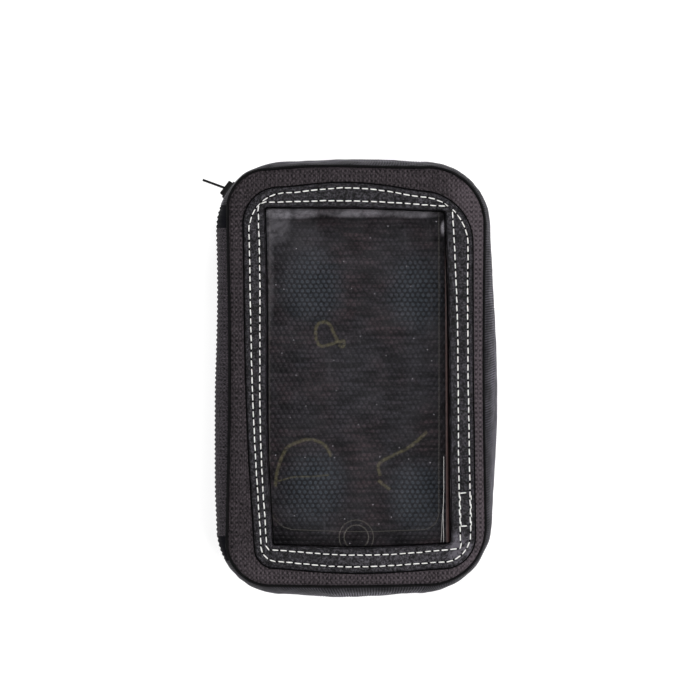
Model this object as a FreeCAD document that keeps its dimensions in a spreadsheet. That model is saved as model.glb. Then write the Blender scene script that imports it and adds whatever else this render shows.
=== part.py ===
"""A small magnetic motorcycle tank bag that opens like a book, lying on its magnets with its window up.

Millimetres. The origin is the middle of the underside, +Z runs out of the window, +Y to the bag's top
edge and +X to the side that opens. The fabric spine is on the -X side, and a zip runs round the other sides.
"""

import FreeCAD, Part
import Sketcher
import math
import os

PLANES = {"XY": "XY_Plane", "XZ": "XZ_Plane", "YZ": "YZ_Plane"}
EVERYWHERE = 400  # a rectangle larger than the bag, for cuts that clear all but one stretch
LOOSE_VOLUME = 0.5  # mm3, the least that a cut has to take away to count

# alias: (value in mm or degrees, what it is)
DIMENSIONS = {
    "panel_width": (117.3, "lid and base panels, seam to seam across"),
    "panel_length": (193.0, "lid and base panels, seam to seam along"),
    "panel_corner": (21.0, "corner radius of the panels"),
    "shoulder_width": (126.6, "side wall a third of the way to the zip, across"),
    "shoulder_length": (200.4, "the same, along"),
    "shoulder_corner": (30.0, "the same, corner radius"),
    "waist_width": (130.0, "centre line of the zip's teeth, across"),
    "waist_length": (202.0, "centre line of the zip's teeth, along"),
    "waist_corner": (36.5, "centre line of the zip's teeth, corner radius"),
    "case_height": (40.0, "whole thickness, lying on its base"),
    "zip_level": (20.0, "height of the zip and of the lid's hinge line"),
    "shoulder_level": (8.0, "height of the shoulder above the base and below the lid's top"),
    "panel_skin": (2.4, "base panel: non-slip cloth with its backing"),
    "panel_margin": (2.2, "both sides of the piping, taken off the panels"),
    "piping": (2.0, "piping cord, across"),
    "magnet_foam": (5.5, "foam that holds the magnets"),
    "magnet_size": (30.0, "magnet diameter"),
    "magnet_height": (5.0, "magnet thickness"),
    "magnet_pocket": (30.8, "hole in the foam"),
    "magnet_pitch_x": (54.0, "magnets, centre to centre across"),
    "magnet_pitch_y": (104.0, "magnets, centre to centre along"),
    "board": (1.0, "stiffening board over the magnets"),
    "lining": (0.8, "lining cloth"),
    "liner_margin": (4.0, "both sides of what lies inside the walls"),
    "tape": (0.8, "zip tape"),
    "spine_cloth": (1.6, "spine: two layers of the outer cloth"),
    "coil": (1.5, "one side of the zip's coil"),
    "coil_back": (0.6, "coil, from its centre line to the tape"),
    "coil_gap": (1.6, "between the two sides of the coil, where the slider's post runs"),
    "hinge_gap": (0.3, "between the two halves of the spine"),
    "lid_cloth": (1.6, "lid cloth with its backing"),
    "leather": (1.2, "window frame leather"),
    "thread": (0.4, "height of the top-stitching thread"),
    "thread_width": (0.8, "width of the top-stitching thread"),
    "window_width": (84.0, "clear window, across"),
    "window_length": (156.0, "clear window, along"),
    "window_corner": (2.0, "clear window, corner radius"),
    "frame_width": (105.2, "leather frame, across"),
    "frame_length": (178.8, "leather frame, along"),
    "frame_corner": (15.0, "leather frame, corner radius"),
    "inner_row_width": (92.0, "inner row of stitches, across"),
    "inner_row_length": (162.4, "inner row of stitches, along"),
    "inner_row_corner": (4.0, "inner row of stitches, corner radius"),
    "outer_row_width": (100.8, "outer row of stitches, across"),
    "outer_row_length": (173.6, "outer row of stitches, along"),
    "outer_row_corner": (12.5, "outer row of stitches, corner radius"),
    "film": (0.5, "window film"),
    "film_width": (96.0, "window film, across"),
    "film_length": (173.0, "window film, along"),
    "sleeve": (0.4, "inner sleeve film"),
    "sleeve_width": (78.4, "inner sleeve film, across"),
    "sleeve_length": (152.0, "inner sleeve film, along"),
    "sleeve_corner": (9.0, "inner sleeve film, corner radius"),
    "sleeve_shift_y": (6.0, "inner sleeve film, middle towards the top edge"),
    "thumb_ring": (5.7, "thumb ring on the sleeve, outer radius"),
    "thumb_ring_wall": (1.2, "thumb ring, wall"),
    "thumb_ring_x": (-3.6, "thumb ring, across"),
    "thumb_ring_y": (-72.6, "thumb ring, along"),
    "lid_foam": (9.3, "foam frame round the phone pocket, and the pocket's depth"),
    "pocket_width": (88.0, "phone pocket, across"),
    "pocket_length": (168.0, "phone pocket, along"),
    "pocket_corner": (6.0, "phone pocket, corner radius"),
    "pocket_cloth": (1.0, "cloth behind the phone"),
    "pocket_cloth_width": (96.0, "cloth behind the phone, across"),
    "pocket_cloth_low": (-70.5, "cloth behind the phone, lower edge"),
    "pocket_cloth_high": (88.0, "cloth behind the phone, upper edge"),
    "mouth_width": (84.0, "mouth of the phone pocket, across"),
    "mouth_low": (-84.0, "mouth of the phone pocket, lower edge"),
    "mouth_high": (-72.5, "mouth of the phone pocket, upper edge"),
    "tab_width": (20.0, "closure tab and its hook-and-loop patches, across"),
    "tab_low": (-92.0, "closure tab, sewn end"),
    "tab_foot": (-85.5, "closure tab, end of its sewn foot"),
    "tab_high": (-60.5, "closure tab, free end"),
    "patch_low": (-71.5, "hook-and-loop patches, lower edge"),
    "patch": (0.8, "hook patch, loop patch and tab, each"),
    "spine_low": (-73.0, "lower end of the spine cloth"),
    "spine_high": (69.5, "upper end of the spine cloth"),
    "zip_low": (-86.0, "lower end of the zip, under its end tab"),
    "zip_high": (80.6, "upper end of the zip, under its end tab"),
    "seam_gap": (0.2, "between the zip tape, its end tabs and the spine"),
    "notch_high": (94.2, "lid side of the zip is cut back round the parked slider up to here"),
    "notch_level": (25.4, "height of that cut"),
    "side_reach": (-45.0, "cuts on the spine side reach in to here"),
    "slider_angle": (143.0, "where the slider parks on the corner, from +X"),
    "slider_long": (9.0, "slider, along the zip"),
    "slider_wide": (8.0, "slider, widest across the zip"),
    "slider_narrow": (6.2, "slider, narrowest across the zip"),
    "slider_plate": (0.8, "slider, each plate"),
    "slider_out": (1.0, "outer plate, from the coil's centre line"),
    "slider_in": (2.2, "inner plate, from the coil's centre line"),
    "post_long": (2.2, "slider post, along the zip"),
    "post_wide": (1.2, "slider post, across the zip"),
    "bridge_long": (7.6, "slider bridge, along the zip"),
    "bridge_wide": (1.8, "slider bridge, across the zip"),
    "bridge_high": (1.9, "slider bridge, above the plate"),
    "bridge_bar": (0.6, "slider bridge, thickness"),
    "bridge_crown": (7.2, "slider bridge, length of its flat top"),
    "bridge_gap": (3.4, "slider bridge, opening for the pull tab's end bar"),
    "cheek_long": (7.6, "slider cheeks, along the zip"),
    "cheek_thick": (0.6, "slider cheeks, thickness"),
    "cheek_gap": (0.1, "slider cheeks, clear of the pull tab's edges"),
    "pull_pivot": (0.65, "pull tab's pivot, above the plate"),
    "pull_angle": (160.0, "where the pull tab points, from +X"),
    "pull_long": (11.8, "pull tab, pivot to tip"),
    "pull_wide": (5.0, "pull tab, across"),
    "pull_thick": (1.0, "pull tab, thickness"),
    "pull_eye": (4.4, "pull tab, length of its eye"),
    "pull_eye_wide": (2.8, "pull tab, width of its eye"),
    "pull_root": (0.35, "pull tab, half of its end bar"),
    "pull_slot_from": (7.2, "pull tab, slot begins"),
    "pull_slot_long": (3.0, "pull tab, slot length"),
    "pull_slot_wide": (1.6, "pull tab, slot width"),
    "stop_long": (1.8, "zip stop, along the zip"),
    "stop_wall": (0.15, "zip stop, metal over the coil"),
}

doc = FreeCAD.newDocument("tank_bag")
sheet = doc.addObject("Spreadsheet::Sheet", "Dims")
for row, (alias, (size, meaning)) in enumerate(DIMENSIONS.items(), start=1):
    sheet.set(f"A{row}", meaning)
    sheet.set(f"B{row}", str(size))
    sheet.setAlias(f"B{row}", alias)
doc.recompute()

# Heights that several pieces share, as expressions on the sheet.
BASE_TOP = "Dims.panel_skin"
FOAM_TOP = f"({BASE_TOP} + Dims.magnet_foam)"
BOARD_TOP = f"({FOAM_TOP} + Dims.board)"
FRAME_TOP = "(Dims.case_height - Dims.thread)"
CLOTH_TOP = f"({FRAME_TOP} - Dims.leather)"
CLOTH_BOTTOM = f"({CLOTH_TOP} - Dims.lid_cloth)"
FILM_BOTTOM = f"({CLOTH_BOTTOM} - Dims.film)"
SLEEVE_BOTTOM = f"({FILM_BOTTOM} - Dims.sleeve)"
POCKET_TOP = f"({FILM_BOTTOM} - Dims.lid_foam)"
LINING_TOP = f"({POCKET_TOP} - Dims.pocket_cloth)"
LINING_BOTTOM = f"({LINING_TOP} - Dims.lining)"
PANEL = ("Dims.panel_width", "Dims.panel_length", "Dims.panel_corner")
SHOULDER = ("Dims.shoulder_width", "Dims.shoulder_length", "Dims.shoulder_corner")
WAIST = ("Dims.waist_width", "Dims.waist_length", "Dims.waist_corner")
WINDOW = ("Dims.window_width", "Dims.window_length", "Dims.window_corner")
POCKET = ("Dims.pocket_width", "Dims.pocket_length", "Dims.pocket_corner")


def value(expression):
    """The number that an expression on the sheet gives."""
    found = sheet.evalExpression(expression.replace("Dims.", ""))
    return float(getattr(found, "Value", found))


def inset(outline, by):
    """An outline moved in by an expression, on every side."""
    width, length, corner = outline
    return f"({width} - 2 * {by})", f"({length} - 2 * {by})", f"({corner} - {by})"


def new_body(label):
    body = doc.addObject("PartDesign::Body", label)
    body.Label = label
    return body


def new_sketch(body, name, plane="XY", height="0"):
    """A sketch on one of the body's own planes, moved along that plane's normal by height."""
    sketch = body.newObject("Sketcher::SketchObject", f"{body.Name}_{name}")
    role = PLANES[plane]
    sketch.AttachmentSupport = [next(f for f in body.Origin.OriginFeatures if f.Role == role), ""]
    sketch.MapMode = "FlatFace"
    sketch.setExpression("AttachmentOffset.Base.z", height)
    return sketch


def bind(sketch, constraint, name, expression):
    """Adds a constraint whose size comes from the sheet."""
    number = sketch.addConstraint(constraint)
    sketch.renameConstraint(number, name)
    sketch.setExpression(f"Constraints.{name}", expression)


def rounded_rectangle(sketch, outline, tag, shift_x="0", shift_y="0"):
    """A rounded rectangle of four arcs and four lines round the point (shift_x, shift_y)."""
    width, length, corner = (value(e) for e in outline)
    x, y = value(shift_x), value(shift_y)
    reach_x, reach_y = width / 2 - corner, length / 2 - corner
    first = sketch.GeometryCount
    ends = []
    for quarter, (side_x, side_y) in enumerate([(1, 1), (-1, 1), (-1, -1), (1, -1)]):
        centre = FreeCAD.Vector(x + side_x * reach_x, y + side_y * reach_y, 0)
        start, stop = quarter * math.pi / 2, (quarter + 1) * math.pi / 2
        arc = Part.ArcOfCircle(Part.Circle(centre, FreeCAD.Vector(0, 0, 1), corner), start, stop)
        ends.append((arc.StartPoint, arc.EndPoint))
        sketch.addGeometry(arc, False)
    for quarter in range(4):
        sketch.addGeometry(Part.LineSegment(ends[quarter][1], ends[(quarter + 1) % 4][0]), False)
    for quarter in range(4):
        arc, line, following = first + quarter, first + 4 + quarter, first + (quarter + 1) % 4
        sketch.addConstraint(Sketcher.Constraint("Tangent", arc, 2, line, 1))
        sketch.addConstraint(Sketcher.Constraint("Tangent", line, 2, following, 1))
        sketch.addConstraint(Sketcher.Constraint("Vertical" if quarter % 2 else "Horizontal", line))
        if quarter:
            sketch.addConstraint(Sketcher.Constraint("Equal", first, arc))
    right, left = first + 7, first + 5
    bind(sketch, Sketcher.Constraint("Radius", first, corner), f"{tag}_corner", outline[2])
    bind(sketch, Sketcher.Constraint("DistanceX", left, 1, right, 1, width), f"{tag}_width", outline[0])
    bind(sketch, Sketcher.Constraint("DistanceX", -1, 1, right, 1, x + width / 2), f"{tag}_right",
         f"{shift_x} + {outline[0]} / 2")
    top, bottom = first + 4, first + 6
    bind(sketch, Sketcher.Constraint("DistanceY", bottom, 1, top, 1, length), f"{tag}_length", outline[1])
    bind(sketch, Sketcher.Constraint("DistanceY", -1, 1, top, 1, y + length / 2), f"{tag}_top",
         f"{shift_y} + {outline[1]} / 2")


def polygon(sketch, corners, tag):
    """A closed polygon whose corners are pairs of expressions."""
    points = [FreeCAD.Vector(value(x), value(y), 0) for x, y in corners]
    first, count = sketch.GeometryCount, len(points)
    for k in range(count):
        sketch.addGeometry(Part.LineSegment(points[k], points[(k + 1) % count]), False)
    for k in range(count):
        sketch.addConstraint(Sketcher.Constraint("Coincident", first + k, 2, first + (k + 1) % count, 1))
    for k, (x, y) in enumerate(corners):
        bind(sketch, Sketcher.Constraint("DistanceX", -1, 1, first + k, 1, points[k].x), f"{tag}_x{k}", x)
        bind(sketch, Sketcher.Constraint("DistanceY", -1, 1, first + k, 1, points[k].y), f"{tag}_y{k}", y)


def rectangle(sketch, low_x, low_y, high_x, high_y, tag):
    polygon(sketch, [(low_x, low_y), (high_x, low_y), (high_x, high_y), (low_x, high_y)], tag)


def circle(sketch, x, y, radius, tag):
    number = sketch.addGeometry(
        Part.Circle(FreeCAD.Vector(value(x), value(y), 0), FreeCAD.Vector(0, 0, 1), value(radius)), False)
    bind(sketch, Sketcher.Constraint("Radius", number, value(radius)), f"{tag}_radius", radius)
    bind(sketch, Sketcher.Constraint("DistanceX", -1, 1, number, 3, value(x)), f"{tag}_x", x)
    bind(sketch, Sketcher.Constraint("DistanceY", -1, 1, number, 3, value(y)), f"{tag}_y", y)


def pad(body, sketch, height, midplane=False):
    feature = body.newObject("PartDesign::Pad", f"{sketch.Name}_pad")
    feature.Profile = sketch
    if midplane:
        feature.Midplane = True
    feature.setExpression("Length", height)
    doc.recompute()
    return feature


def pocket(body, sketch, depth=None, reverse=True):
    """A cut from the sketch, along its normal when reversed, by depth or through all.

    It has to take something away.
    """
    before = body.Shape.Volume
    feature = body.newObject("PartDesign::Pocket", f"{sketch.Name}_cut")
    feature.Profile = sketch
    feature.Reversed = reverse
    if depth is None:
        feature.Type = "ThroughAll"
    else:
        feature.setExpression("Length", depth)
    doc.recompute()
    if before - body.Shape.Volume < LOOSE_VOLUME:
        raise RuntimeError(f"{feature.Name} cuts nothing")
    return feature


def plate(label, outline, height, thickness, shift_x="0", shift_y="0", holes=()):
    """A flat piece: a rounded rectangle, with any rounded-rectangle holes, padded up from height."""
    body = new_body(label)
    sketch = new_sketch(body, "outline", height=height)
    rounded_rectangle(sketch, outline, "edge", shift_x, shift_y)
    for k, (hole, hole_x, hole_y) in enumerate(holes):
        rounded_rectangle(sketch, hole, f"hole{k}", hole_x, hole_y)
    pad(body, sketch, thickness)
    return body


def ring(label, outline, band, height, thickness):
    """A flat band of constant width inside an outline."""
    return plate(label, outline, height, thickness, holes=[(inset(outline, band), "0", "0")])


def keep_only(body, low_y, high_y, tag="keep"):
    """Cuts away all but the stretch of a wall on the spine side between two places along the bag."""
    sketch = new_sketch(body, tag)
    rectangle(sketch, str(-EVERYWHERE), str(-EVERYWHERE), str(EVERYWHERE), str(EVERYWHERE), "all")
    rectangle(sketch, str(-EVERYWHERE / 2), low_y, "Dims.side_reach", high_y, "kept")
    pocket(body, sketch)


def cut_side(body, low_y, high_y, depth=None, tag="spine_side"):
    """Cuts a stretch out of a wall on the spine side, through all or up to a height."""
    sketch = new_sketch(body, tag)
    rectangle(sketch, str(-EVERYWHERE / 2), low_y, "Dims.side_reach", high_y, "gone")
    pocket(body, sketch, depth)


def wall(label, levels, skin):
    """A thin wall through outlines at three heights, hollow by skin."""
    body = new_body(label)
    for kind, by in (("AdditiveLoft", "0"), ("SubtractiveLoft", skin)):
        sections = []
        for k, (outline, height) in enumerate(levels):
            sketch = new_sketch(body, f"{kind}{k}", height=height)
            rounded_rectangle(sketch, inset(outline, by), "edge")
            sections.append(sketch)
        doc.recompute()
        loft = body.newObject(f"PartDesign::{kind}", f"{body.Name}_{kind}")
        loft.Profile = sections[0]
        loft.Sections = sections[1:]
        loft.Ruled = True
        doc.recompute()
    return body


def lower_levels(edge, out="0"):
    """The outlines of the base's side wall, up to edge below the zip's middle and moved out by out."""
    return [(inset(PANEL, f"(0 - {out})"), BASE_TOP),
            (inset(SHOULDER, f"(0 - {out})"), "Dims.shoulder_level"),
            (inset(WAIST, f"(Dims.tape - {out})"), f"(Dims.zip_level - {edge})")]


def upper_levels(edge, out="0"):
    """The same for the lid's side wall, from edge above the zip's middle."""
    return [(inset(WAIST, f"(Dims.tape - {out})"), f"(Dims.zip_level + {edge})"),
            (inset(SHOULDER, f"(0 - {out})"), "(Dims.case_height - Dims.shoulder_level)"),
            (inset(PANEL, f"(0 - {out})"), f"({CLOTH_TOP} - Dims.piping)")]


def base_stack():
    """What lies in the base: outer panel, piping, foam with its magnets, board and lining."""
    plate("base_panel", inset(PANEL, "(Dims.panel_margin / 2)"), "0", "Dims.panel_skin")
    piping("base_piping", "(Dims.panel_skin - Dims.piping)")
    inside = inset(PANEL, "(Dims.liner_margin / 2)")
    foam = plate("magnet_foam", inside, BASE_TOP, "Dims.magnet_foam")
    holes = new_sketch(foam, "pockets", height=BASE_TOP)
    for k, (side_x, side_y) in enumerate(MAGNETS.values()):
        circle(holes, f"{side_x} * Dims.magnet_pitch_x / 2", f"{side_y} * Dims.magnet_pitch_y / 2",
               "Dims.magnet_pocket / 2", f"pocket{k}")
    pocket(foam, holes)
    for corner, (side_x, side_y) in MAGNETS.items():
        magnet(f"magnet_{corner}", side_x, side_y)
    plate("base_stiffener", inside, FOAM_TOP, "Dims.board")
    plate("base_lining", inside, BOARD_TOP, "Dims.lining")


MAGNETS = {"top_left": (-1, 1), "top_right": (1, 1), "bottom_left": (-1, -1), "bottom_right": (1, -1)}


def magnet(label, side_x, side_y):
    """A disc magnet, standing on the base panel inside its hole in the foam."""
    disc = doc.addObject("Part::Cylinder", label)
    disc.Label = label
    disc.setExpression("Radius", "Dims.magnet_size / 2")
    disc.setExpression("Height", "Dims.magnet_height")
    disc.setExpression("Placement.Base.x", f"{side_x} * Dims.magnet_pitch_x / 2")
    disc.setExpression("Placement.Base.y", f"{side_y} * Dims.magnet_pitch_y / 2")
    disc.setExpression("Placement.Base.z", BASE_TOP)


def piping(label, height):
    """A round cord in the seam round a panel, with its underside at height."""
    body = new_body(label)
    middle = f"({height} + Dims.piping / 2)"
    path = new_sketch(body, "path", height=middle)
    rounded_rectangle(path, PANEL, "path")
    section = new_sketch(body, "section", "XZ", "-1 * (Dims.panel_length / 2 - Dims.panel_corner)")
    circle(section, "Dims.panel_width / 2", middle, "Dims.piping / 2", "cord")
    doc.recompute()
    cord = body.newObject("PartDesign::AdditivePipe", f"{label}_cord")
    cord.Profile = section
    cord.Spine = (path, [f"Edge{n + 1}" for n in range(len(path.Shape.Edges))])
    doc.recompute()
    return body


def zip_side(side, levels_of, coil_height):
    """The tape, coil, spine half and end tab halves on one side of the zip. side is base or lid."""
    high_end = "(Dims.zip_high + Dims.seam_gap)"
    low_end = "(Dims.zip_low - Dims.seam_gap)"
    tape = wall(f"zip_tape_{side}", levels_of("(Dims.coil_gap / 2)"), "Dims.tape")
    cut_side(tape, low_end, high_end)
    coil = ring(f"zip_coil_{side}", inset(WAIST, "(0 - Dims.coil / 2)"), "(Dims.coil / 2 + Dims.coil_back)",
                coil_height, "Dims.coil")
    coil_end = "Dims.notch_high" if side == "lid" else high_end
    cut_side(coil, low_end, coil_end)
    if side == "lid":
        cut_side(tape, f"({high_end} - Dims.seam_gap)", "Dims.notch_high", "Dims.notch_level", "notch")
    stretches = {f"spine_{side}": ("Dims.spine_low", "Dims.spine_high"),
                 f"zip_tab_top_{side}": ("(Dims.spine_high + Dims.seam_gap)", "Dims.zip_high"),
                 f"zip_tab_bottom_{side}": ("Dims.zip_low", "(Dims.spine_low - Dims.seam_gap)")}
    for label, (low, high) in stretches.items():
        piece = wall(label, levels_of("(Dims.hinge_gap / 2)", "Dims.tape"), "Dims.spine_cloth")
        keep_only(piece, low, high)


def zip_stop(label, low_y):
    """A crimped stop on the base side of the coil, between two places along the bag."""
    outside = "(Dims.coil / 2 + Dims.stop_wall)"
    body = ring(label, inset(WAIST, f"(0 - {outside})"), f"({outside} + Dims.coil_back - 0.05)",
                "(Dims.zip_level - Dims.coil_gap / 2 - Dims.coil - 2 * Dims.stop_wall)",
                "(Dims.coil + 2 * Dims.stop_wall)")
    keep_only(body, low_y, f"({low_y} + Dims.stop_long)")
    return body


def lid_stack():
    """What lies in the lid: cloth, leather frame, stitches, films, foam frame, pocket cloth and lining."""
    cloth = inset(PANEL, "(Dims.panel_margin / 2)")
    plate("lid_panel", cloth, CLOTH_BOTTOM, "Dims.lid_cloth", holes=[(WINDOW, "0", "0")])
    piping("lid_piping", f"({CLOTH_TOP} - Dims.piping)")
    frame = ("Dims.frame_width", "Dims.frame_length", "Dims.frame_corner")
    plate("window_frame", frame, CLOTH_TOP, "Dims.leather", holes=[(WINDOW, "0", "0")])
    for row in ("inner", "outer"):
        outline = tuple(f"Dims.{row}_row_{part}" for part in ("width", "length", "corner"))
        ring(f"stitches_{row}", inset(outline, "(0 - Dims.thread_width / 2)"), "Dims.thread_width",
             FRAME_TOP, "Dims.thread")
    film = ("Dims.film_width", "Dims.film_length", "Dims.window_corner")
    plate("window_film", film, FILM_BOTTOM, "Dims.film")
    sleeve_film()
    inside = inset(PANEL, "(Dims.liner_margin / 2)")
    plate("lid_foam", inside, POCKET_TOP, "Dims.lid_foam", holes=[(POCKET, "0", "0")])
    back = new_body("pocket_back")
    outline = new_sketch(back, "outline", height=LINING_TOP)
    rectangle(outline, "-1 * Dims.pocket_cloth_width / 2", "Dims.pocket_cloth_low",
              "Dims.pocket_cloth_width / 2", "Dims.pocket_cloth_high", "edge")
    pad(back, outline, "Dims.pocket_cloth")
    mouth = ("Dims.mouth_width", "(Dims.mouth_high - Dims.mouth_low)", "Dims.window_corner")
    plate("lid_lining", inside, LINING_BOTTOM, "Dims.lining",
          holes=[(mouth, "0", "((Dims.mouth_high + Dims.mouth_low) / 2)")])
    closure()


def sleeve_film():
    """The clear sleeve under the window, with the raised ring of its thumb hole at the lower edge."""
    outline = ("Dims.sleeve_width", "Dims.sleeve_length", "Dims.sleeve_corner")
    body = plate("sleeve_film", outline, SLEEVE_BOTTOM, "Dims.sleeve", "-1", "Dims.sleeve_shift_y")
    bump = new_sketch(body, "thumb_ring", height=SLEEVE_BOTTOM)
    circle(bump, "Dims.thumb_ring_x", "Dims.thumb_ring_y", "Dims.thumb_ring", "rim")
    pad(body, bump, "Dims.sleeve")
    hole = new_sketch(body, "thumb_hole", height=SLEEVE_BOTTOM)
    circle(hole, "Dims.thumb_ring_x", "Dims.thumb_ring_y", "Dims.thumb_ring - Dims.thumb_ring_wall", "hole")
    pocket(body, hole)


def closure():
    """The tab across the pocket's mouth, with a hook patch that grips a loop patch on the lining."""
    patch = ("Dims.tab_width", "(Dims.tab_high - Dims.patch_low)", "1")
    middle = "((Dims.tab_high + Dims.patch_low) / 2)"
    plate("loop_patch", patch, f"({LINING_BOTTOM} - Dims.patch)", "Dims.patch", "0", middle)
    plate("hook_patch", patch, f"({LINING_BOTTOM} - 2 * Dims.patch)", "Dims.patch", "0", middle)
    tab = new_body("closure_tab")
    side = new_sketch(tab, "side", plane="YZ")
    low = f"({LINING_BOTTOM} - 3 * Dims.patch)"
    high = f"({LINING_BOTTOM} - 2 * Dims.patch)"
    polygon(side, [("Dims.tab_low", low), ("Dims.tab_high", low),
                   ("Dims.tab_high", high), ("Dims.tab_foot", high),
                   ("Dims.tab_foot", LINING_BOTTOM), ("Dims.tab_low", LINING_BOTTOM)], "side")
    pad(tab, side, "Dims.tab_width", midplane=True)


def slider():
    """The zip slider: two tapered plates joined by a post, and a bridge for the pull tab with two cheeks.

    It is drawn round the coil's centre line, with X out of the bag and Y along the zip, and then placed on
    the corner.
    """
    body = new_body("slider_body")
    half_long, wide, narrow = "Dims.slider_long / 2", "Dims.slider_wide / 2", "Dims.slider_narrow / 2"
    for name, height in (("outer", "Dims.slider_out"), ("inner", "-1 * Dims.slider_in - Dims.slider_plate")):
        sketch = new_sketch(body, name, plane="YZ", height=height)
        corners = [(f"-1 * {half_long}", f"-1 * {narrow}"), (half_long, f"-1 * {wide}"),
                   (half_long, wide), (f"-1 * {half_long}", narrow)]
        polygon(sketch, corners, "plate")
        if name == "inner":
            post = new_sketch(body, "post", plane="YZ", height="-1 * Dims.slider_in - Dims.slider_plate / 2")
            rectangle(post, "Dims.slider_long / 2 - Dims.post_long - 1", "-1 * Dims.post_wide / 2",
                      "Dims.slider_long / 2 - 1", "Dims.post_wide / 2", "post")
            pad(body, post, "Dims.slider_in + Dims.slider_out + Dims.slider_plate")
        pad(body, sketch, "Dims.slider_plate")
    arch = new_sketch(body, "bridge", plane="XY", height="-1 * Dims.bridge_wide / 2")
    plate_top = "(Dims.slider_out + Dims.slider_plate)"
    high = f"({plate_top} + Dims.bridge_high)"
    half, crown, gap = "Dims.bridge_long / 2", "Dims.bridge_crown / 2", "Dims.bridge_gap / 2"
    under = f"({high} - Dims.bridge_bar)"
    polygon(arch, [(plate_top, f"-1 * {half}"), (high, f"-1 * {crown}"), (high, crown), (plate_top, half),
                   (plate_top, gap), (under, gap), (under, f"-1 * {gap}"), (plate_top, f"-1 * {gap}")],
            "arch")
    pad(body, arch, "Dims.bridge_wide")
    clear = "(Dims.pull_wide / 2 + Dims.cheek_gap)"
    long = "Dims.cheek_long / 2"
    for name, height in (("upper_cheek", clear), ("lower_cheek", f"-1 * {clear} - Dims.cheek_thick")):
        cheek = new_sketch(body, name, plane="XY", height=height)
        polygon(cheek, [(plate_top, f"-1 * {long}"), (high, f"-1 * {crown}"),
                        (high, crown), (plate_top, long)], "cheek")
        pad(body, cheek, "Dims.cheek_thick")
    put_on_corner(body, "0", "Dims.slider_angle")
    return body


def put_on_corner(body, out, turn):
    """Places a body on the corner of the zip where the slider parks, out from the coil's centre line."""
    reach = f"(Dims.waist_corner + {out})"
    turned = FreeCAD.Rotation(FreeCAD.Vector(0, 0, 1), value(turn))
    body.Placement = FreeCAD.Placement(FreeCAD.Vector(), turned)
    body.setExpression("Placement.Rotation.Angle", f"{turn} * 1 deg")
    body.setExpression("Placement.Base.x", f"Dims.waist_corner - Dims.waist_width / 2"
                                           f" + {reach} * cos(Dims.slider_angle * 1 deg)")
    body.setExpression("Placement.Base.y", f"Dims.waist_length / 2 - Dims.waist_corner"
                                           f" + {reach} * sin(Dims.slider_angle * 1 deg)")
    body.setExpression("Placement.Base.z", "Dims.zip_level")


def pull():
    """The pull tab: a plate with an eye round the bridge and a slot near its tip.

    It turns about its end bar.
    """
    body = new_body("pull_tab")
    outline = new_sketch(body, "outline", plane="XZ", height="-1 * Dims.pull_thick / 2")
    rectangle(outline, "-1 * Dims.pull_root", "-1 * Dims.pull_wide / 2",
              "Dims.pull_long", "Dims.pull_wide / 2", "edge")
    rectangle(outline, "Dims.pull_root", "-1 * Dims.pull_eye_wide / 2",
              "Dims.pull_root + Dims.pull_eye", "Dims.pull_eye_wide / 2", "eye")
    rectangle(outline, "Dims.pull_slot_from", "-1 * Dims.pull_slot_wide / 2",
              "Dims.pull_slot_from + Dims.pull_slot_long", "Dims.pull_slot_wide / 2", "slot")
    pad(body, outline, "Dims.pull_thick")
    put_on_corner(body, "Dims.slider_out + Dims.slider_plate + Dims.pull_pivot", "Dims.pull_angle")
    return body


def write_parts():
    """Checks every object and writes one STEP file for each sub-part."""
    doc.recompute()
    broken = [o.Name for o in doc.Objects if "Invalid" in o.State or "Error" in o.State]
    if broken:
        raise RuntimeError(f"not computed: {broken}")
    os.makedirs("parts", exist_ok=True)
    pieces = [o for o in doc.Objects if o.TypeId in ("PartDesign::Body", "Part::Cylinder")]
    for piece in pieces:
        shape = piece.Shape
        if shape.isNull() or not shape.isValid() or not shape.Solids:
            raise RuntimeError(f"{piece.Label} has no valid solid")
        shape.exportStep(os.path.join("parts", f"{piece.Label}.step"))
    print(len(pieces), "pieces")


base_stack()
zip_side("base", lower_levels, "(Dims.zip_level - Dims.coil_gap / 2 - Dims.coil)")
zip_side("lid", upper_levels, "(Dims.zip_level + Dims.coil_gap / 2)")
zip_stop("zip_top_stop", "(Dims.zip_high + Dims.seam_gap)")
zip_stop("zip_bottom_stop", "(Dims.zip_low - Dims.seam_gap - Dims.stop_long)")
lid_stack()
slider()
pull()
write_parts()
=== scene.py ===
"""The looks of the tank bag, built round its CAD frame.

Lengths are millimetres, which mesh_object turns into the frame's metres. The lights and the camera are in
metres.
"""

import bpy
import math
import numpy as np
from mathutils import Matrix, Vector


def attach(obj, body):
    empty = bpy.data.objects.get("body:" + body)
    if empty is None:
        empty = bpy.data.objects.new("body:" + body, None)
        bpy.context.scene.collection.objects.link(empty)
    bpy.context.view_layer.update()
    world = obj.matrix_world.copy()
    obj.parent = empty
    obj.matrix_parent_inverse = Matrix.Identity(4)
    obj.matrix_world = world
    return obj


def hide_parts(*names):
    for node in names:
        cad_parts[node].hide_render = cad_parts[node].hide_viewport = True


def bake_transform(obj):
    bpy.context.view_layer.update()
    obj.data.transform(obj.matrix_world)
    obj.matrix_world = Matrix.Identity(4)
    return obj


MM = 0.001
LID_TOP = 38.4  # top of the lid's cloth
MID_WALL = 19.7  # height of the middle of the two side walls
ZIP = 20.0  # height of the zip and of the hinge line
HINGE_X = -65.2  # the hinge line, where the spine folds

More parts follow.
